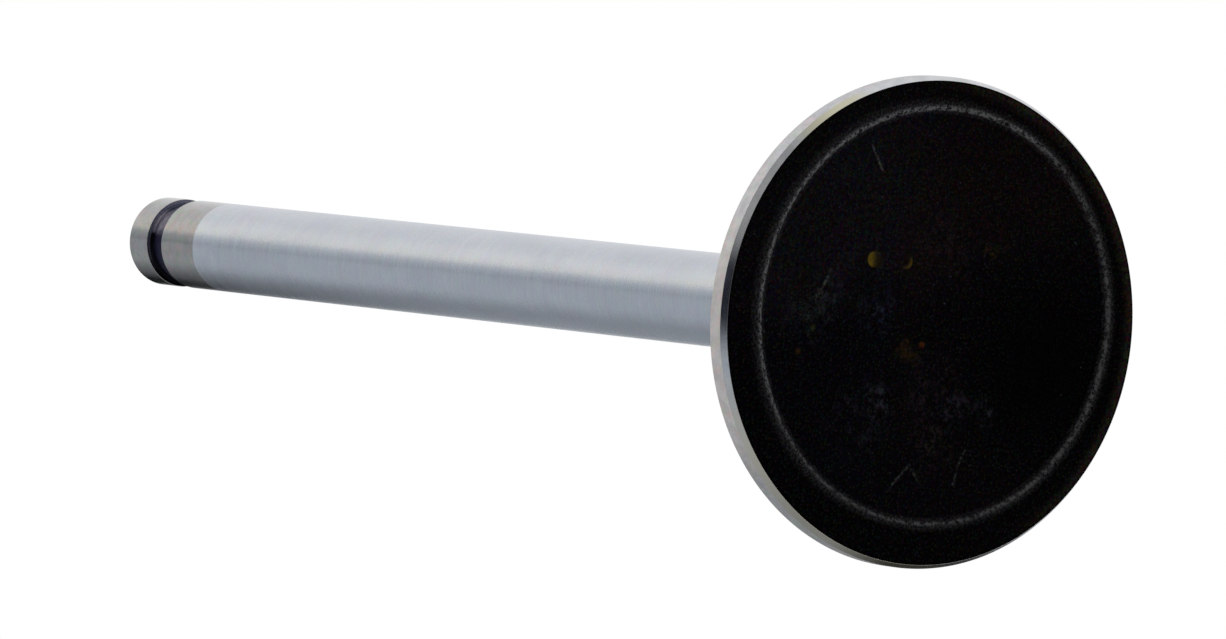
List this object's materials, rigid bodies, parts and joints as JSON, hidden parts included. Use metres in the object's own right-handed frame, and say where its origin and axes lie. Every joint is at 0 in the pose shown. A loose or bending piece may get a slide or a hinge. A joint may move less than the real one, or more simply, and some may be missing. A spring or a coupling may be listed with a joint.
{
  "type": "engine valve",
  "caption": "Poppet valve with a flat recessed head, ground margin and seat, a tulip neck and a plated stem that ends in a keeper groove.",
  "frame": {"origin": "centre of the combustion face's flat rim, which the valve stands on", "axes": "+Z along the stem from the head to the tip; the head's recess lies a little off the axis towards +X and +Y"},
  "size_m": [0.0408, 0.0408, 0.1276],
  "materials": {
    "valve_steel": "satin hard-chromed stem, ground margin, seat and tip, matt black face, underhead and groove"
  },
  "bodies": {
    "root": {"valve": "valve_steel"}
  },
  "joints": []
}
